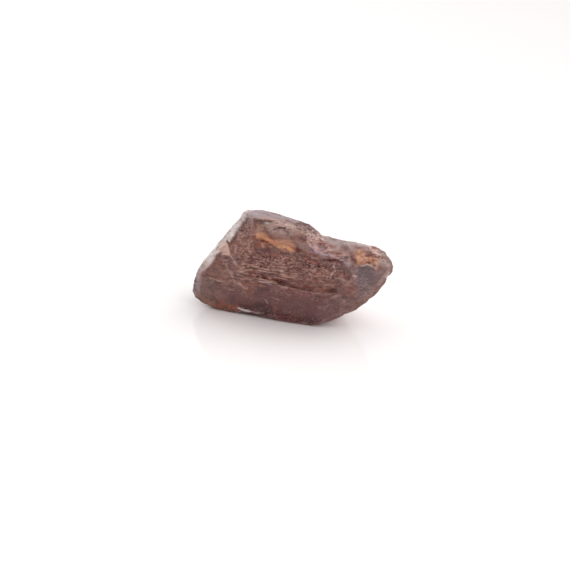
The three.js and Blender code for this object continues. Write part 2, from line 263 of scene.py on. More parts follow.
# Fields of colour on the side that the camera sees: the colour, its strength, the softness of its
# border in pixels, and its corners in pixels of the 570 x 570 picture. Later ones lie over
# earlier ones, and the streaks below lie over them all.
FIELDS = [
    # the crown and the wing behind the ledge, tilted up: their pale tones are partly painted sheen of the
    # light from above
    ("dusty", 0.8, 2.0, [(266, 220), (298, 222), (322, 237), (346, 246), (358, 250), (356, 258), (343, 258),
                         (330, 254), (318, 252), (303, 252), (297, 244), (284, 239), (268, 234)]),
    ("rose", 0.8, 1.5, [(271, 231), (297, 233), (300, 243), (290, 241), (272, 240)]),
    ("ash", 0.95, 2.0, [(262, 220), (286, 221), (299, 226), (300, 236), (284, 235), (266, 231)]),
    # painted reflection: the pale top strip mirrors the bright surroundings at a grazing angle
    ("grey_mauve", 1.0, 0.7, [(246.5, 206), (268, 206), (286, 212), (304, 220), (300, 225), (288, 220.5),
                              (278, 217.8), (266, 217.2), (245.5, 217.4)]),
    ("pink", 0.8, 0.5, [(249, 217.2), (272, 217), (286, 219.6), (286, 221), (270, 219.8), (252, 219.4)]),
    ("rose", 0.55, 3.0, [(246, 219), (256, 219), (256, 246), (244, 260), (234, 256), (231, 246),
                         (240, 234)]),
    ("ash", 0.85, 1.6, [(336, 243), (350, 246), (366, 248), (384, 249), (388, 256), (378, 255), (366, 253),
                        (352, 254), (343, 254), (335, 250)]),
    ("dusty", 0.7, 2.0, [(297, 232), (309, 235), (311, 253), (302, 254), (297, 245)]),
    # painted shade: darkens a facet that faces the light
    ("umber", 0.6, 1.6, [(311, 239), (328, 240), (324, 247), (311, 248)]),
    ("blue_grey", 0.45, 1.8, [(304, 229), (320, 233), (325, 243), (309, 243)]),
    ("olive", 0.95, 0.8, [(256, 224), (264, 224), (264.5, 231), (256, 231.5)]),
    ("cream", 0.7, 0.9, [(288.5, 224), (295, 224), (296, 229), (289, 230)]),
    ("dark_grey", 1.0, 0.9, [(295.5, 223), (305, 221), (322, 234), (321, 236), (312, 233), (303, 230),
                             (297, 229)]),
    # painted reflection: the warm grey strip along the right top edge, seen at a grazing angle
    ("warm_grey", 1.0, 1.4, [(320, 234), (334, 236), (356, 240), (372, 244), (372, 248.3), (360, 247.2),
                             (345, 246), (330, 243.5), (322, 240)]),
    ("violet", 0.7, 1.2, [(308, 246), (316, 245.5), (323, 249), (322, 254), (310, 253)]),
    # the pale rim of the left end, whose paleness is painted light shining through and glancing off the thin
    # edge, and the bevel below it
    ("pale", 1.0, 1.4, [(248, 209), (247, 216), (242, 223), (239, 230), (234.5, 235), (231, 240.5),
                        (225.5, 244.5), (220.5, 250), (216, 257), (212, 263), (205, 270), (192, 270),
                        (198, 258), (216, 240), (234, 216), (242, 206)]),
    ("cream", 0.7, 1.2, [(209, 262), (204, 272), (198, 272), (198, 266), (203, 261)]),
    ("grey_mauve", 0.95, 1.2, [(204, 269), (200, 280), (200, 290), (202, 299), (190, 297), (188, 284),
                               (192, 268)]),
    # the broken middle, below the ledge
    ("umber", 1.0, 3.0, [(240, 250), (256, 254), (290, 256), (330, 263), (356, 268), (352, 275), (330, 271),
                         (306, 269), (286, 267), (262, 267), (244, 262)]),
    # the tan facet, pale partly as painted light on a facet turned up towards the light
    ("tan", 1.0, 0.8, [(224, 240), (229, 244), (231, 255), (221, 255.5), (218, 250)]),
    # the front left
    ("rust", 0.8, 1.0, [(215, 259), (222, 260), (224, 270), (210, 270)]),
    ("olive", 0.5, 1.5, [(208, 270), (228, 271), (231, 280), (222, 281), (206, 279)]),
    ("purple", 0.8, 1.2, [(224, 256), (232, 259), (241, 270), (239, 280), (230, 276)]),
    ("taupe", 0.9, 1.5, [(201, 272), (207, 280), (209, 290), (222, 290), (224, 299), (206, 298),
                         (200, 290)]),
    ("tan_brown", 0.8, 1.6, [(197, 296), (210, 298), (236, 303), (236, 314), (214, 310), (200, 304)]),
    ("plum", 0.95, 1.5, [(223, 288), (236, 289), (252, 293), (256, 303), (238, 308), (225, 301)]),
    # the front's middle and its lower part, darkened towards the floor with painted shade
    ("umber", 0.8, 2.0, [(284, 267), (308, 268), (308, 282), (286, 282)]),
    ("purple", 0.95, 2.0, [(254, 287), (272, 286), (294, 289), (332, 293), (352, 299), (352, 312),
                           (322, 328), (296, 328), (262, 322), (238, 316), (238, 304), (254, 302)]),
    ("brick", 0.35, 3.0, [(336, 280), (362, 282), (360, 294), (344, 296), (334, 290)]),
    ("smoky", 0.7, 2.0, [(336, 300), (358, 297), (374, 289), (384, 284), (360, 310), (340, 318)]),
    # painted shade near the floor
    ("deep_purple", 0.9, 1.0, [(238, 303), (262, 303), (272, 306), (272, 324), (240, 318)]),
    # painted glow: red light coming through the crystal along the bottom edge
    ("red", 0.8, 1.5, [(276, 312), (292, 314), (310, 318), (310, 328), (274, 324)]),
    # painted shade at the bottom edge, by the floor
    ("dark", 0.5, 1.5, [(296, 316), (308, 319), (318, 320), (322, 330), (296, 328)]),
    # the golden band, a painted glow of light reflected from fractures inside the crystal, and the recess
    # below it, darkened with painted shade
    ("gold", 0.85, 1.6, [(256, 232.5), (265, 232), (271, 239), (290, 240), (296, 246), (295, 252),
                        (282, 251), (272, 245), (264, 240), (256, 239)]),
    ("amber", 1.0, 0.7, [(255.5, 240), (264, 240.8), (270, 245), (270, 249), (255.5, 248.5)]),
    # painted shade in the recess under the ledge, red with painted glow from inside the crystal
    ("red", 1.0, 0.6, [(254.5, 248.5), (270, 248.5), (273, 253), (262, 255), (255, 254)]),
    ("rust", 0.8, 1.0, [(272, 252), (282, 253), (290, 255), (286, 259), (272, 257)]),
    ("brick", 1.0, 0.8, [(303, 255), (318, 258.5), (320, 263.5), (312, 265), (303, 262)]),
    # the orange window, a painted glow of light coming through the crystal, and the pale rim right of it
    ("gold", 1.0, 1.0, [(356, 250), (363, 250), (366, 256), (377, 257), (380, 262), (378, 268.5), (368, 263),
                        (358, 266), (355, 258)]),
    ("dark_grey", 0.7, 1.4, [(376, 248), (384, 248), (396, 262), (394, 267), (384, 257)]),
    ("cream", 0.9, 1.0, [(378, 258), (384, 259), (391, 262), (392, 268), (384, 267.5), (378, 266)]),
    ("smoky", 0.9, 0.9, [(375, 269.5), (384, 268.5), (393, 268), (391, 271.8), (380, 272)]),
    # the facet below it
    ("blue_grey", 1.0, 3.0, [(355, 267), (367, 265.5), (376, 270), (386, 272), (380, 284), (369, 298),
                             (359, 298), (355, 283)]),
    ("smoky", 0.8, 2.5, [(380, 270), (391, 271), (386, 282), (377, 292), (369, 299), (376, 285)]),
    ("dark_grey", 0.6, 1.0, [(350, 268), (357, 268), (359, 280), (352, 279)]),
    # thin washes over the right half
    ("violet", 0.2, 4.0, [(318, 236), (340, 240), (384, 250), (394, 264), (376, 290), (350, 286),
                          (326, 262)]),
    ("blue_grey", 0.4, 4.0, [(332, 288), (360, 292), (384, 280), (362, 312), (324, 330), (318, 312)]),
]

# Streaks of colour on the same side: the colour, its strength, its half width in pixels, and the
# pixels that it runs through.
STREAKS = [
    # the crown's left end and the rim of the left end
    ("soot", 0.6, 0.9, [(254, 221), (264, 221), (272, 222)]),
    ("dark", 0.8, 1.2, [(247, 219), (243.5, 225.5), (240, 232), (235.5, 237), (232, 241.5)]),
    # painted glint
    ("white", 1.0, 0.6, [(265.8, 223.2), (268.2, 223.4)]),
    ("pink", 0.6, 2.2, [(272, 224), (278, 223.5), (286, 226)]),
    ("dark", 1.0, 0.9, [(274, 229.6), (278, 228.3), (281, 227.5), (285.5, 228)]),
    ("ash", 0.9, 1.3, [(277, 231), (285, 230.5), (294, 230)]),
    # painted highlight along the rim of the left end
    ("white", 0.8, 1.8, [(244, 211), (236, 221), (228, 231), (222, 238)]),
    ("warm_grey", 0.7, 1.2, [(229.5, 231), (226, 236)]),
    ("dusty", 0.6, 1.0, [(220, 245), (212, 253)]),
    ("dark", 0.7, 1.2, [(221, 253), (217, 259)]),
    ("pink", 0.5, 0.8, [(203, 267), (200.5, 274), (200.5, 284), (198.5, 293)]),
    ("purple", 0.7, 0.9, [(196, 273), (194.5, 284), (195.5, 291)]),
    ("brick", 0.4, 1.6, [(206, 273), (206, 280)]),
    # chips around the tan facet
    ("dark", 0.9, 0.9, [(226.5, 241), (229, 245.5), (231, 250.5)]),
    ("pink", 0.6, 0.9, [(233, 243), (236, 248), (234, 254)]),
    ("purple", 0.6, 2.0, [(237, 251), (238, 255)]),
    ("dark", 0.9, 1.4, [(221, 257.5), (227, 258.5)]),
    ("dark", 0.9, 1.1, [(233, 257), (239, 259.5), (248, 258.5)]),
    ("pink", 0.8, 0.9, [(231, 256), (234, 261), (237, 265)]),
    ("pink", 0.4, 1.6, [(241, 263), (247, 265)]),
    # the golden band, painted glow from fractures inside the crystal, and the recess under its ledge, with
    # painted shade
    ("bright_gold", 0.6, 1.4, [(257, 235.5), (264, 236.5), (267, 239.5)]),
    ("gold", 1.0, 1.6, [(258, 234), (264, 237), (271, 242), (280, 246), (291, 249)]),
    ("bright_gold", 1.0, 1.5, [(279, 246), (284, 246.5), (288.5, 247)]),
    ("amber", 0.5, 0.6, [(268, 241.5), (276, 244), (284, 244.5), (292, 246)]),
    ("copper", 0.8, 0.8, [(270, 241), (278, 241.4), (288, 241)]),
    ("copper", 0.8, 0.8, [(282, 251), (288, 252.3), (293, 252)]),
    ("rose", 0.7, 1.4, [(293, 243), (296, 250)]),
    # painted shade: the dark line under the ledge's lip
    ("dark", 0.9, 0.9, [(256, 240.3), (264, 241), (269, 244), (274, 247.5), (280, 251.5)]),
    # painted glint
    ("tan", 0.7, 1.0, [(262, 244.5), (263.5, 247.5)]),
    ("smoky", 0.6, 1.4, [(273, 249.5), (279, 252)]),
    # painted shade: the dark line under the ledge, further right
    ("dark", 0.9, 1.0, [(281, 253.4), (287, 254.5), (297, 256.5), (303, 256)]),
    # the crown's right end and the wing
    ("soot", 0.7, 1.0, [(297, 227.5), (300, 229)]),
    ("soot", 0.6, 0.9, [(303, 225), (309, 229), (316, 233)]),
    ("cream", 0.9, 1.0, [(299, 231.5), (307, 233), (314, 236.5), (321, 238)]),
    ("violet", 0.9, 1.6, [(310, 251.5), (319, 253.8)]),
    ("violet", 0.5, 1.3, [(334, 262), (341, 264)]),
    # painted shade on the same facet that faces the light
    ("smoky", 0.9, 1.0, [(311, 241), (318, 241.5)]),
    ("tan_brown", 0.6, 1.3, [(321, 242.5), (327, 245), (334, 247.5)]),
    # painted sheen: a pale bluish ridge on the glossy wing
    ("pale_blue", 1.0, 1.6, [(321, 254), (328, 255), (334, 256.8), (342, 260)]),
    ("violet", 0.9, 1.1, [(321, 258), (328, 258.5)]),
    # painted shade: the dark line beneath the ridge, under the ledge
    ("soot", 0.9, 1.0, [(321, 260.5), (328, 261), (334, 260), (342, 262.5), (346, 266)]),
    ("cream", 0.7, 0.8, [(311, 257.5), (319, 258.5)]),
    ("dark", 0.8, 1.3, [(301, 264), (308, 267), (314, 267)]),
    # painted sparkle: a cluster of small glints
    ("pale_blue", 0.8, 3.6, [(345, 259), (349, 264)]),
    ("soot", 0.8, 0.9, [(344.5, 257), (347, 257)]),
    ("soot", 0.8, 1.0, [(350, 256.5), (352, 258)]),
    ("dusty", 0.7, 2.2, [(353, 262), (356, 265)]),
    # the orange window, a painted glow of light coming through the crystal
    ("bright_gold", 0.9, 1.2, [(358.5, 251), (359, 256), (358.5, 262)]),
    ("copper", 0.7, 0.9, [(362, 251), (362, 256)]),
    ("amber", 0.7, 1.2, [(361, 263), (366, 262.6)]),
    ("amber", 0.7, 0.7, [(368.5, 256.5), (369, 261.5)]),
    ("amber", 0.7, 0.7, [(372.6, 258), (373.6, 264)]),
    ("bright_gold", 0.5, 0.7, [(370.6, 257.5), (371.2, 263.5)]),
    ("copper", 0.6, 0.7, [(375, 259), (376, 265)]),
    ("soot", 0.5, 1.3, [(360, 268), (368, 266.8), (374, 270)]),
    ("pink", 0.9, 0.9, [(360, 266), (364, 265.2), (367, 264.2), (371, 266.2), (376.5, 269)]),
    ("pink", 0.7, 0.8, [(370, 252), (376, 253), (381, 254.5)]),
    ("pale", 0.6, 1.0, [(384, 263), (389, 265)]),
    ("pale", 0.9, 1.2, [(389, 273), (386, 277)]),
    # the facet below it
    ("smoky", 0.6, 1.5, [(374, 278), (370, 288)]),
    ("pink", 0.9, 0.9, [(352.5, 275.5), (356, 276.5)]),
    ("pink", 0.5, 0.8, [(353, 272), (358, 270)]),
    ("smoky", 0.7, 2.2, [(379, 285), (374, 293), (366, 299)]),
    ("ash", 0.7, 2.0, [(389, 270), (384, 277), (379, 284)]),
    # the middle
    ("red", 0.6, 1.8, [(279, 257.5), (291, 260)]),
    # painted light: these two taupe streaks lighten the shade of the fold between facets
    ("taupe", 0.9, 1.2, [(262, 279), (272, 281), (285, 284.5)]),
    ("taupe", 0.9, 1.2, [(315, 291), (326, 292.3), (334, 292.5), (338, 290)]),
    # painted light that lightens the seam between the front and the facet at the right
    ("dusty", 0.5, 0.9, [(338, 290), (344, 282), (350, 273), (352, 268)]),
    # painted shade under the ledge of the fold
    ("dark", 0.5, 1.2, [(288, 285.5), (296, 287), (305, 289), (312, 290)]),
    ("tan", 0.7, 0.7, [(240, 268.5), (252, 270)]),
    ("tan", 0.8, 0.7, [(258, 268.5), (272, 270), (284, 271)]),
    ("dark", 0.7, 0.7, [(258, 270.5), (272, 272)]),
    ("tan", 0.7, 0.8, [(252, 274), (260, 276.5)]),
    ("tan", 0.8, 0.7, [(253, 278), (262, 280), (272, 281)]),
    ("dark", 0.7, 0.9, [(274, 275), (279, 277), (285, 278.5)]),
    ("tan", 0.6, 1.4, [(281, 273), (286, 275)]),
    ("dark", 0.6, 0.8, [(248, 286), (256, 287)]),
    ("violet", 0.9, 1.5, [(260, 281.5), (266, 282.5), (271, 285)]),
    ("soot", 0.7, 0.7, [(263, 284), (267, 286.5)]),
    ("pink", 0.6, 1.1, [(275, 283.8), (288, 286)]),
    ("deep_purple", 0.8, 2.4, [(258, 288.5), (268, 290)]),
    # painted glints on the small diagonal lines
    ("pink", 0.7, 0.7, [(334, 264.5), (334.5, 271)]),
    ("pink", 0.6, 0.8, [(332, 272.5), (330, 277.5)]),
    ("tan", 0.9, 0.8, [(335, 277.8), (341, 279.6), (346, 280.6)]),
    ("dark", 0.6, 1.1, [(339, 270), (350, 272)]),
    ("dusty", 0.5, 2.2, [(344, 282), (349, 285)]),
    ("dusty", 0.7, 0.8, [(331, 298), (336, 296), (341, 295.5)]),
    ("dusty", 0.6, 1.0, [(312, 292), (314, 294)]),
    # the lower left
    ("dark", 0.9, 1.0, [(207, 280.5), (214, 282), (222, 283.5), (230, 287), (234, 288)]),
    ("dark", 0.5, 0.8, [(212, 285.5), (219, 286.5)]),
    ("pink", 0.5, 0.7, [(217, 280.3), (223, 281.6)]),
    ("pink", 0.5, 0.7, [(219, 287.5), (223, 288)]),
    ("tan", 0.6, 1.1, [(226, 264), (228, 270), (232, 276), (235, 281)]),
    ("tan", 0.7, 1.8, [(235, 283), (240, 285)]),
    ("tan", 0.9, 0.9, [(240, 286), (246.5, 289)]),
    ("dusty", 0.6, 0.9, [(229, 290), (237, 290.5)]),
    ("smoky", 0.9, 2.4, [(241, 291), (246, 296)]),
    ("pink", 0.7, 0.9, [(265, 300), (267.5, 302.5)]),
    ("dusty", 0.7, 0.8, [(272, 297.5), (279, 300)]),
    ("smoky", 0.5, 1.6, [(262, 298), (272, 302)]),
    # the lower edge, with a painted glow of light coming through the crystal and a painted highlight on its
    # rim
    ("honey", 0.8, 2.6, [(199, 293), (204, 300), (213, 304)]),
    ("plum", 0.5, 1.5, [(262, 317.5), (280, 320), (300, 323), (318, 324)]),
    # painted glow of light through the crystal, in these three amber streaks
    ("amber", 1.0, 2.4, [(219, 304.5), (228, 306), (236, 307.5)]),
    ("amber", 0.5, 2.5, [(274, 306), (276, 311)]),
    ("amber", 0.4, 2.0, [(203, 303), (212, 307), (220, 308)]),
    ("dusty", 0.5, 0.7, [(283, 310.5), (290, 312.5)]),
    ("dusty", 0.4, 1.0, [(322, 321), (335, 316), (350, 309)]),
    # painted highlight on the rim of the lower edge, white fading to pink
    ("white", 1.0, 0.8, [(238.5, 308.4), (244, 310), (250, 311.6)]),
    ("pink", 0.8, 0.7, [(250, 311.6), (263, 313.4)]),
]

# How the surface is on the same side, as streaks: the strength, the half width and the run. It has
# grainy places, lines along the crystal, glassy places, and bruised, frosted ones that let less light
# into the crystal.
ZONES = {
    "grainy": [
        (1.0, 8, [(247, 230), (243, 246), (247, 262)]),
        (1.0, 9, [(262, 262), (290, 264), (330, 272)]),
        (0.8, 6, [(312, 240), (320, 248), (345, 258)]),
        (0.8, 6, [(372, 251), (388, 257)]),
        (1.0, 5, [(300, 228), (320, 237)]),
        (0.7, 5, [(272, 224), (287, 229)]),
        (0.6, 9, [(345, 276), (372, 296)]),
        (0.3, 9, [(318, 300), (345, 308)]),
        (0.5, 8, [(228, 262), (232, 284)]),
    ],
    "lined": [
        (1.0, 9, [(246, 272), (262, 275), (282, 280)]),
        (0.4, 7, [(214, 282), (234, 282)]),
        (0.5, 9, [(286, 274), (334, 284)]),
        (0.4, 7, [(262, 262), (300, 268)]),
        (0.5, 5, [(364, 258), (376, 262)]),
    ],
    "glassy": [
        (1.0, 9, [(203, 290), (222, 296), (240, 300)]),
        (1.0, 10, [(258, 298), (290, 304), (330, 312)]),
        (1.0, 8, [(363, 273), (368, 282)]),
        (0.9, 5, [(224, 250), (228, 255)]),
        (0.4, 4, [(260, 236), (272, 241), (288, 248)]),
        (0.9, 4, [(250, 213), (275, 216), (300, 224)]),
        (0.9, 4, [(330, 241), (366, 249)]),
        (0.2, 5, [(242, 213), (230, 232), (208, 260)]),
        (0.6, 5, [(260, 252), (270, 252)]),
        (0.7, 5, [(292, 275), (302, 276)]),
        (0.5, 6, [(384, 254), (391, 265), (386, 277), (374, 291)]),
    ],
    "frosted": [
        (1.0, 7, [(244, 211), (236, 221), (226, 236), (212, 254), (202, 265)]),
        (0.1, 7, [(250, 215), (275, 218), (300, 222)]),
        (0.6, 5, [(318, 238), (345, 243), (372, 248)]),
        (1.0, 5, [(226, 243), (228, 253)]),
        (0.9, 6, [(260, 236), (272, 242), (290, 248)]),
        (0.5, 6, [(360, 256), (374, 262)]),
        (1.0, 3, [(238, 308), (250, 311.5)]),
    ],
}
STREAK_BORDER = (0.5, 1.4)  # where a streak begins to fade and where it ends, in half widths
TINY = 1e-9  # keeps a division from being one by zero


def pigment(name):
    """The surface colour, linear, that looks like the named colour in the studio's light."""
    seen = (np.array(SEEN[name]) / BRIGHTEST) ** GAMMA
    return np.clip((seen - GLOSS) / LIT, *PIGMENT_LIMITS)


def distance_to_run(places, run):
    """The distance of every place to the nearest stretch between neighbours of the run."""
    nearest = np.full(len(places), np.inf)
    for start, end in zip(run, run[1:]):
        start = np.array(start, float)
        along = np.array(end, float) - start
        share = np.clip((places - start) @ along / (along @ along), 0.0, 1.0)
        nearest = np.minimum(nearest, np.linalg.norm(places - start - share[:, None] * along, axis=1))
    return nearest


def inside(places, corners):
    """True for the places inside a closed outline."""
    across, down = places.T
    crossings = np.zeros(len(places), int)
    for (x1, y1), (x2, y2) in zip(corners, corners[1:] + corners[:1]):
        spans = (y1 > down) != (y2 > down)
        border = x1 + (x2 - x1) * (down - y1) / (y2 - y1 + TINY)
        crossings += spans & (across < border)
    return crossings % 2 == 1


def field_share(places, softness, corners):
    """1 inside an outline, 0 outside it, soft at the border."""
    distance = distance_to_run(places, corners + corners[:1])
    depth = np.where(inside(places, corners), distance, -distance)
    return ramp(depth, -softness, softness)


def streak_share(places, half_width, run):
    """1 in the middle of a streak, 0 outside it."""
    begins, ends = (half_width * border for border in STREAK_BORDER)
    return 1.0 - ramp(distance_to_run(places, run), begins, ends)


def zone(places, streaks):
    """How strong a zone is at each place, where its strongest streak decides."""
    share = np.zeros(len(places))
    for strength, half_width, run in streaks:
        share = np.maximum(share, strength * streak_share(places, half_width, run))
    return share


# ------------------------------------------------------------------ relief

RISE = math.radians(1.7)  # the prism's lines rise towards the pointed end

# The forms of the relief, in mm, each from its own layer of noise. base is the share of a form that
# is there everywhere, and more is what its zone adds. Pits lie where their noise is higher than from,
# and the riser of a terrace begins that far into each step.
LINES = {"height": 0.070, "cell": (3.2, 0.36, 0.24), "layer": 1, "base": 0.25, "more": 1.0}
GRAIN = {"height": 0.050, "cell": 0.30, "layer": 2, "base": 0.2, "more": 1.0}
LUMPS = {"height": 0.055, "cell": 0.75, "layer": 3, "base": 0.5, "more": 0.5}
PITS = {"depth": 0.10, "cell": 0.55, "layer": 4, "base": 0.2, "more": 0.8, "from": 0.40, "border": 0.2}
TERRACES = {"height": 0.20, "cell": (5.0, 1.5, 1.0), "layer": 5, "steps": 6.0, "riser": 0.62}
CALM = {"terraces": 0.5, "all": 0.75}  # how much lower terraces, and then all forms, are where glassy

SHARPEST = 0.12 * VOXEL  # mm from a point on a sharp ridge to its neighbours' middle
FOLDS = {"rounds": 12, "from": 0.1, "to": 0.6}  # how often folds are rounded out, and how sharp ones
EDGES = {"push": 0.06, "from": 0.4}  # mm that edges are drawn out again, and how sharp ones
FLAT_FOOT = (0.12, 0.60)  # mm above the floor where relief begins and is whole: the foot stays flat


def prism_coordinates(points):
    """Points in axes along, behind and across the lines of the prism."""
    along = points[:, 0] * math.cos(RISE) + points[:, 2] * math.sin(RISE)
    across = points[:, 2] * math.cos(RISE) - points[:, 0] * math.sin(RISE)
    return np.stack([along, points[:, 1], across], axis=1)


def form_noise(points, form):
    """The noise of one form of the relief."""
    return smooth_noise(points, form["cell"], form["layer"])


def presence(form, zone_share):
    """How much of a form there is, more of it within its zone."""
    return form["base"] + form["more"] * zone_share


def terraces(prism):
    """Flat steps with sharp risers, long in the direction of the prism, from -0.5 to 0.5."""
    level = TERRACES["steps"] * form_noise(prism, TERRACES)
    whole = np.floor(level)
    return (whole + ramp(level - whole, TERRACES["riser"], 1.0)) / (2.0 * TERRACES["steps"])


def relief(points, zones):
    """How far each point is pushed out of the smooth surface, in mm."""
    prism = prism_coordinates(points)
    grainy, glassy = zones["grainy"], zones["glassy"]
    pits = ramp(form_noise(points, PITS), PITS["from"], PITS["from"] + PITS["border"])
    height = LINES["height"] * form_noise(prism, LINES) * presence(LINES, zones["lined"])
    height += GRAIN["height"] * form_noise(points, GRAIN) * presence(GRAIN, grainy)
    height += LUMPS["height"] * form_noise(points, LUMPS) * presence(LUMPS, grainy)
    height -= PITS["depth"] * pits * presence(PITS, grainy)
    height += TERRACES["height"] * terraces(prism) * (1.0 - CALM["terraces"] * glassy)
    return height * (1.0 - CALM["all"] * glassy)


def neighbours_middle(mesh, points):
    """The middle of every point's neighbours along the mesh's edges."""
    edges = np.zeros(2 * len(mesh.edges), int)
    mesh.edges.foreach_get("vertices", edges)
    first, second = edges.reshape(-1, 2).T
    total = np.zeros_like(points)
    count = np.zeros(len(points))
    np.add.at(total, first, points[second])
    np.add.at(total, second, points[first])
    np.add.at(count, first, 1)
    np.add.at(count, second, 1)
    return total / count[:, None]


def ridges_and_hollows(mesh, points):
    """Positive on ridges and negative in hollows, from -1 to 1."""
    normals = vectors_of(mesh.vertices, "normal")
    bulge = np.einsum("ij,ij->i", points - neighbours_middle(mesh, points), normals)
    return np.clip(bulge / SHARPEST, -1.0, 1.0)


def filled_folds(mesh, points):
    """The points with the inward folds between facets rounded out a little."""
    for _ in range(FOLDS["rounds"]):
        fold = ramp(-ridges_and_hollows(mesh, points), FOLDS["from"], FOLDS["to"])
        points = points + fold[:, None] * (neighbours_middle(mesh, points) - points)
    return points


def carved(points, normals, edges, zones):
    """The points moved by the relief, within the CAD node's box and with a flat foot."""
    drawn_out = EDGES["push"] * np.maximum(edges - EDGES["from"], 0.0) / (1.0 - EDGES["from"])
    height = (relief(points, zones) + drawn_out) * ramp(points[:, 2], *FLAT_FOOT)
    lowest, highest = (np.array(corner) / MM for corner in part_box(NODE))
    return np.clip(points + height[:, None] * normals, lowest, highest)


# ------------------------------------------------------------------ the crystal's mesh and its paint

# The side that the picture shows: how nearly side on a surface may be, and how far back it may lie
# in mm. Each pair is where the border begins and ends.
SEEN_SIDE = {"facing": (-0.20, -0.02), "depth": (-1.7, -0.9)}
# How far the borders of fields and streaks wander, in pixels: the size of the swings in mm, their
# layers of noise across and down, and how wide they are.
WOBBLE = {"cell": 0.7, "layers": (11, 12), "field": 1.3, "streak": 0.7}

# The sides that the picture doesn't show have patches from noise instead. Each kind has its strength,
# the size of its patches in mm, its layer of noise, and the tones where a patch begins and is whole.
HIDDEN_ZONES = {
    "grainy": (0.6, 3.5, 21, 0.1, 0.4),
    "lined": (0.4, 4.0, 22, 0.0, 0.3),
    "glassy": (1.0, 4.5, 23, -0.1, 0.2),
}
HIDDEN_COLORS = [
    ("purple", (0.9, (4.0, 2.4, 2.0), 31, 0.00, 0.20)),
    ("dusty", (0.4, (2.4, 1.6, 1.2), 32, 0.15, 0.40)),
    ("olive", (0.7, (2.6, 1.4, 1.2), 33, 0.20, 0.36)),
    ("red", (0.8, (2.4, 1.2, 1.2), 34, 0.34, 0.46)),
    ("gold", (0.6, (3.4, 1.6, 0.9), 35, 0.40, 0.52)),
    ("dark", (0.8, (2.0, 0.9, 0.5), 36, 0.36, 0.46)),
]
# Over them lie a pale mauve on faces that look up, a painted reflection of the bright light above, and a
# dusty brown along the ridges, which is wear and painted glints together.
UPWARD_SHEEN = {"color": "grey_mauve", "strength": 0.6, "from": 0.60, "to": 0.92}
WORN_AND_GLINTING = {"color": "dusty", "strength": 0.5, "from": 0.3, "to": 1.0}
SMALLEST_SHARE = 1e-6  # less paint than this is none


def store(mesh, name, values):
    """Keeps a number of every point for the material."""
    layer = mesh.attributes.new(name, "FLOAT", "POINT")
    layer.data.foreach_set("value", np.asarray(values, np.float32))


def store_color(mesh, name, colors):
    """Keeps a colour of every point for the material."""
    layer = mesh.attributes.new(name, "FLOAT_VECTOR", "POINT")
    layer.data.foreach_set("vector", np.asarray(colors, np.float32).ravel())


def patch(points, strength, cell, layer, begins, whole):
    """Patches where the noise is high."""
    return strength * ramp(smooth_noise(points, cell, layer), begins, whole)


def covered(count, layers):
    """The colour of layers of paint over each other, and how much of them lies there, 0 to 1."""
    color = np.tile(pigment("brown"), (count, 1))
    share = np.zeros(count)
    for name, here in layers:
        color += here[:, None] * (pigment(name) - color)
        share += here * (1.0 - share)
    return color, share


def seen_paint(points, places):
    """The colour and its share for the side that the picture shows."""
    wobble = np.stack([smooth_noise(points, WOBBLE["cell"], layer) for layer in WOBBLE["layers"]], axis=1)
    layers = [(name, strength * field_share(places + WOBBLE["field"] * wobble, softness, corners))
              for name, strength, softness, corners in FIELDS]
    layers += [(name, strength * streak_share(places + WOBBLE["streak"] * wobble, half_width, run))
               for name, strength, half_width, run in STREAKS]
    return covered(len(points), layers)


def hidden_paint(points, normals, edges):
    """The colour and its share for the sides that the picture doesn't show."""
    layers = [(name, patch(points, *setting)) for name, setting in HIDDEN_COLORS]
    # painted reflection on the upward faces, and wear with painted glints along the ridges
    for extra, amount in ((UPWARD_SHEEN, normals[:, 2]), (WORN_AND_GLINTING, edges)):
        layers.append((extra["color"], extra["strength"] * ramp(amount, extra["from"], extra["to"])))
    return covered(len(points), layers)


def joined_paint(front, seen, hidden):
    """The colour and share of the seen and the hidden side together. front is 1 on the seen side."""
    weights = front * seen[1], (1.0 - front) * hidden[1]
    share = weights[0] + weights[1]
    color = seen[0] * weights[0][:, None] + hidden[0] * weights[1][:, None]
    return color / np.maximum(share, SMALLEST_SHARE)[:, None], share


def seen_share(points, normals):
    """1 on the side that the picture shows, 0 on the others, with a soft border."""
    towards = ramp(facing_camera(points, normals), *SEEN_SIDE["facing"])
    return towards * (1.0 - ramp(points[:, 1], *SEEN_SIDE["depth"]))


def surface_zones(points, places, front):
    """How grainy, lined, glassy and frosted each point is, 0 to 1."""
    zones = {name: front * zone(places, streaks) for name, streaks in ZONES.items()}
    for name, setting in HIDDEN_ZONES.items():
        zones[name] = zones[name] + (1.0 - front) * patch(points, *setting)
    return zones


def make_crystal_mesh(source):
    """The CAD node's mesh with its relief, and with what the material needs kept at its points."""
    mesh = fine_copy(source)
    points = filled_folds(mesh, vectors_of(mesh.vertices, "co"))
    normals = vectors_of(mesh.vertices, "normal")
    edges = ridges_and_hollows(mesh, points)
    places = picture_places(points)
    front = seen_share(points, normals)
    zones = surface_zones(points, places, front)
    hidden = hidden_paint(points, normals, edges)
    paint, paint_share = joined_paint(front, seen_paint(points, places), hidden)
    moved = carved(points, normals, edges, zones)
    mesh.vertices.foreach_set("co", moved.ravel())
    mesh.update()
    for name, values in zones.items():
        store(mesh, name, values)
    store(mesh, "bulge", ridges_and_hollows(mesh, moved))
    store(mesh, "paint_share", paint_share)
    store_color(mesh, "paint", paint)
    mesh.vertices.foreach_set("co", (moved * MM).ravel())
    mesh.update()
    mesh.shade_smooth()
    return mesh


# ------------------------------------------------------------------ the mineral's material

IOR = 1.66  # enstatite's own
SPECULAR = 0.25
ABSORPTION = {"color": (0.85, 0.60, 0.45, 1.0), "density": 120.0}  # per metre

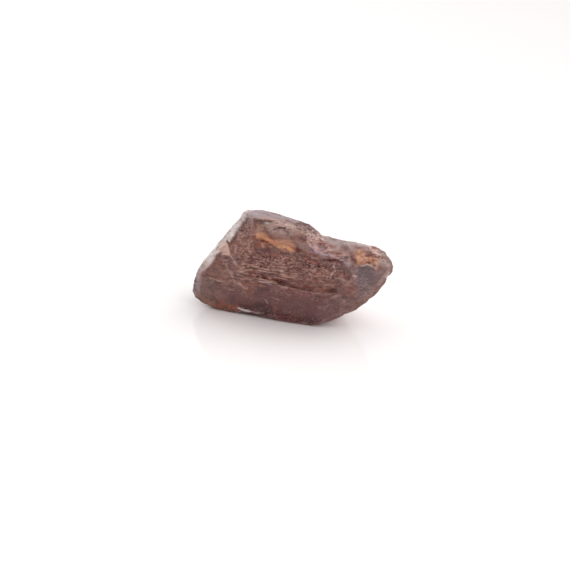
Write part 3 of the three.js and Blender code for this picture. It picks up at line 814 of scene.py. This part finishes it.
# Patterns, in the crystal's own frame: the cells in a millimetre, how much longer they are along the
# prism than across it, and for noise how much finer detail it has.
NOISES = {
    "clouds": (0.35, 1.0, 3.0),
    "drifts": (0.55, 1.0, 2.0),
    "hue": (0.9, 1.5, 2.0),
    "mottle": (1.5, 1.6, 3.0),
    "specks": (5.5, 2.2, 3.0),
    "threads": (5.5, 9.0, 1.5),
    "gloss": (1.3, 1.0, 2.0),
    "roughcast": (5.0, 1.0, 2.0),
    "ribs": (4.5, 8.0, 2.0),
}
CELLS = {
    "specks": (7.5, 2.0),
    "flecks": (5.4, 1.6),
    "grains": (4.5, 1.0),
}
CLOUD_BORDER = (0.35, 0.65)  # the tones of the clouds from brown to rust

# Tints over the paint: the colour, its strength, and the tones of its pattern at which it begins and is
# whole. The bulge comes from the mesh: it is below 0 in hollows and above 0 on ridges, and its tints are
# painted shade in the hollows and painted highlight on the ridges.
TINTS = {
    "drifts": [("purple", 0.60, 0.50, 0.75)],
    "hue": [("tan_brown", 0.25, 0.54, 0.72), ("purple", 0.40, 0.46, 0.28)],
    "mottle": [("dusty", 0.25, 0.52, 0.70), ("dark", 0.50, 0.50, 0.32)],
    # the pale specks are partly painted glints and the dark ones partly painted shade, on the grainy surface
    "specks": [("tan", 0.42, 0.54, 0.66), ("dark", 0.55, 0.48, 0.34)],
    "threads": [("tan", 0.65, 0.54, 0.62), ("dark", 0.85, 0.48, 0.39)],
    # the pink flecks are painted sparkles
    "flecks": [("pink", 0.12, 0.70, 0.78), ("soot", 0.12, 0.32, 0.24)],
    # painted shade in the hollows, painted highlight on the ridges
    "bulge": [("dark", 0.25, -0.25, -1.0), ("tan", 0.20, 0.25, 1.0)],
}
# How strong a pattern is outside a zone and within it.
STRENGTHS = {
    "mottle": ("glassy", 1.0, 0.15),
    "specks": ("grainy", 0.2, 1.0),
    "threads": ("lined", 0.0, 1.0),
    "roughcast": ("grainy", 0.4, 1.2),
    "ribs": ("lined", 0.5, 1.6),
}

# Roughness and clearness on plain and on glassy surface, and what grains add to them. Between two of
# its tones noise makes the roughness uneven, and bruises take from the clearness, down to the least.
ROUGHNESS = {"plain": 0.24, "glassy": 0.12, "grainy": 0.06, "tones": (0.3, 0.7), "uneven": (-0.06, 0.08)}
CLEARNESS = {"plain": 0.36, "glassy": 0.55, "grainy": -0.2, "frosted": 0.28, "least": 0.04}
BUMP = {"strength": 0.5, "height": 0.08}  # mm

# The places of the colour sockets on Blender's Mix node, which has several of each name.
MIX_FIRST, MIX_SECOND, MIX_RESULT = 6, 7, 2


class Graph:
    """Short names for adding and joining the nodes of one material."""

    def __init__(self, name):
        self.material = bpy.data.materials.new(name)
        self.material.use_nodes = True
        self.nodes = self.material.node_tree.nodes
        self.links = self.material.node_tree.links
        self.shader = self.nodes["Principled BSDF"]
        self.output = self.nodes["Material Output"]

    def put(self, socket, value):
        """Joins an output to a socket, or sets a plain value on it."""
        if hasattr(value, "is_output"):
            self.links.new(value, socket)
        else:
            socket.default_value = value

    def attribute(self, name, output="Fac"):
        """What the mesh keeps at its points under a name."""
        node = self.nodes.new("ShaderNodeAttribute")
        node.attribute_name = name
        return node.outputs[output]

    def math(self, operation, first, second):
        """A sum, product or other operation on two numbers."""
        node = self.nodes.new("ShaderNodeMath")
        node.operation = operation
        self.put(node.inputs[0], first)
        self.put(node.inputs[1], second)
        return node.outputs[0]

    def spread(self, value, low, high, to_low=0.0, to_high=1.0):
        """value from low to high becomes to_low to to_high."""
        node = self.nodes.new("ShaderNodeMapRange")
        node.inputs["From Min"].default_value = low
        node.inputs["From Max"].default_value = high
        node.inputs["To Min"].default_value = to_low
        node.inputs["To Max"].default_value = to_high
        self.put(node.inputs["Value"], value)
        return node.outputs["Result"]

    def by_zone(self, zone_name, plain, whole):
        """plain outside a zone, whole within it."""
        return self.spread(self.attribute(zone_name), 0.0, 1.0, plain, whole)

    def mix(self, share, first, second):
        """first, with a share of it covered by second."""
        node = self.nodes.new("ShaderNodeMix")
        node.data_type = "RGBA"
        self.put(node.inputs["Factor"], share)
        self.put(node.inputs[MIX_FIRST], first)
        self.put(node.inputs[MIX_SECOND], second)
        return node.outputs[MIX_RESULT]

    def place(self, cells_per_mm, length):
        """Coordinates in the crystal's own frame, in which cells are longer along the prism."""
        place = self.nodes.new("ShaderNodeTexCoord")
        turn = self.nodes.new("ShaderNodeMapping")
        across = cells_per_mm / MM
        turn.inputs["Rotation"].default_value = (0.0, RISE, 0.0)
        turn.inputs["Scale"].default_value = (across / length, across, across)
        self.links.new(place.outputs["Object"], turn.inputs["Vector"])
        return turn.outputs["Vector"]

    def noise(self, name):
        """The tone of one of the noises, about 0.2 to 0.8."""
        cells_per_mm, length, detail = NOISES[name]
        node = self.nodes.new("ShaderNodeTexNoise")
        node.inputs["Scale"].default_value = 1.0
        node.inputs["Detail"].default_value = detail
        self.links.new(self.place(cells_per_mm, length), node.inputs["Vector"])
        return node.outputs["Fac"]

    def cells(self, name):
        """Angular cells, each with a tone of its own, about 0.2 to 0.8."""
        node = self.nodes.new("ShaderNodeTexVoronoi")
        node.inputs["Scale"].default_value = 1.0
        self.links.new(self.place(*CELLS[name]), node.inputs["Vector"])
        return node.outputs["Color"]

    def tinted(self, color, name, tone):
        """The colour with the named tints over it, each where the tone lies in its range."""
        strength_here = self.by_zone(*STRENGTHS[name]) if name in STRENGTHS else None
        for tint, strength, begins, whole in TINTS[name]:
            share = self.spread(tone, begins, whole, 0.0, strength)
            if strength_here is not None:
                share = self.math("MULTIPLY", share, strength_here)
            color = self.mix(share, color, solid(tint))
        return color


def solid(name):
    """A named colour for a colour socket."""
    return (*pigment(name), 1.0)


def body_color(g):
    """Brown with clouds of rust and drifts of purple, for where no paint lies."""
    clouds = g.spread(g.noise("clouds"), *CLOUD_BORDER)
    body = g.mix(clouds, solid("brown"), solid("rust"))
    return g.tinted(body, "drifts", g.noise("drifts"))


def mineral_color(g):
    """The paint on the body colour, and over both the fine patterns, painted shade in the hollows and
    painted highlights on the ridges.
    """
    color = g.mix(g.attribute("paint_share"), body_color(g), g.attribute("paint", "Vector"))
    color = g.tinted(color, "hue", g.noise("hue"))
    color = g.tinted(color, "mottle", g.noise("mottle"))
    half_cells = g.math("MULTIPLY", g.cells("specks"), 0.5)
    half_noise = g.math("MULTIPLY", g.noise("specks"), 0.5)
    color = g.tinted(color, "specks", g.math("ADD", half_cells, half_noise))
    color = g.tinted(color, "threads", g.noise("threads"))
    color = g.tinted(color, "flecks", g.cells("flecks"))
    # painted shade and highlight from the mesh's hollows and ridges
    return g.tinted(color, "bulge", g.attribute("bulge"))


def roughness(g):
    """Smooth where the surface is glassy, rough where it is grainy, and a little uneven."""
    rough = g.by_zone("glassy", ROUGHNESS["plain"], ROUGHNESS["glassy"])
    rough = g.math("ADD", rough, g.math("MULTIPLY", g.attribute("grainy"), ROUGHNESS["grainy"]))
    uneven = g.spread(g.noise("gloss"), *ROUGHNESS["tones"], *ROUGHNESS["uneven"])
    return g.math("ADD", rough, uneven)


def clearness(g):
    """How much light goes into the crystal: most where it is glassy, least where it is bruised."""
    clear = g.by_zone("glassy", CLEARNESS["plain"], CLEARNESS["glassy"])
    clear = g.math("ADD", clear, g.math("MULTIPLY", g.attribute("grainy"), CLEARNESS["grainy"]))
    clear = g.math("SUBTRACT", clear, g.math("MULTIPLY", g.attribute("frosted"), CLEARNESS["frosted"]))
    return g.math("MAXIMUM", clear, CLEARNESS["least"])


def bump_normal(g):
    """A fine roughcast, coarser on grainy surface, with ribs along the prism."""
    bump = g.nodes.new("ShaderNodeBump")
    bump.inputs["Strength"].default_value = BUMP["strength"]
    bump.inputs["Distance"].default_value = BUMP["height"] * MM
    grains = g.math("MULTIPLY", g.cells("grains"), g.attribute("grainy"))
    fine = g.math("ADD", g.noise("roughcast"), grains)
    fine = g.math("MULTIPLY", fine, g.by_zone(*STRENGTHS["roughcast"]))
    ribs = g.math("MULTIPLY", g.noise("ribs"), g.by_zone(*STRENGTHS["ribs"]))
    g.put(bump.inputs["Height"], g.math("ADD", fine, ribs))
    return bump.outputs["Normal"]


def absorption(g):
    """The brown that light takes on inside the crystal."""
    volume = g.nodes.new("ShaderNodeVolumeAbsorption")
    volume.inputs["Color"].default_value = ABSORPTION["color"]
    volume.inputs["Density"].default_value = ABSORPTION["density"]
    return volume.outputs["Volume"]


def make_mineral():
    """See-through enstatite, by plain transmission, its IOR and absorption."""
    g = Graph("enstatite")
    g.put(g.shader.inputs["Base Color"], mineral_color(g))
    g.put(g.shader.inputs["Roughness"], roughness(g))
    g.put(g.shader.inputs["Transmission Weight"], clearness(g))
    g.put(g.shader.inputs["Normal"], bump_normal(g))
    g.shader.inputs["IOR"].default_value = IOR
    g.shader.inputs["Specular IOR Level"].default_value = SPECULAR
    g.put(g.output.inputs["Volume"], absorption(g))
    return g.material


# ------------------------------------------------------------------ the scene


def make_crystal():
    """The one piece of the scene, which stands for the CAD node."""
    mesh = make_crystal_mesh(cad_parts[NODE])
    mesh.materials.clear()
    mesh.materials.append(make_mineral())
    crystal = bpy.data.objects.new("crystal", mesh)
    bpy.context.scene.collection.objects.link(crystal)
    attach(crystal, "root")
    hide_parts(NODE)


make_camera()
make_floor()
make_sky()
bpy.context.scene.view_settings.view_transform = "Standard"
make_crystal()
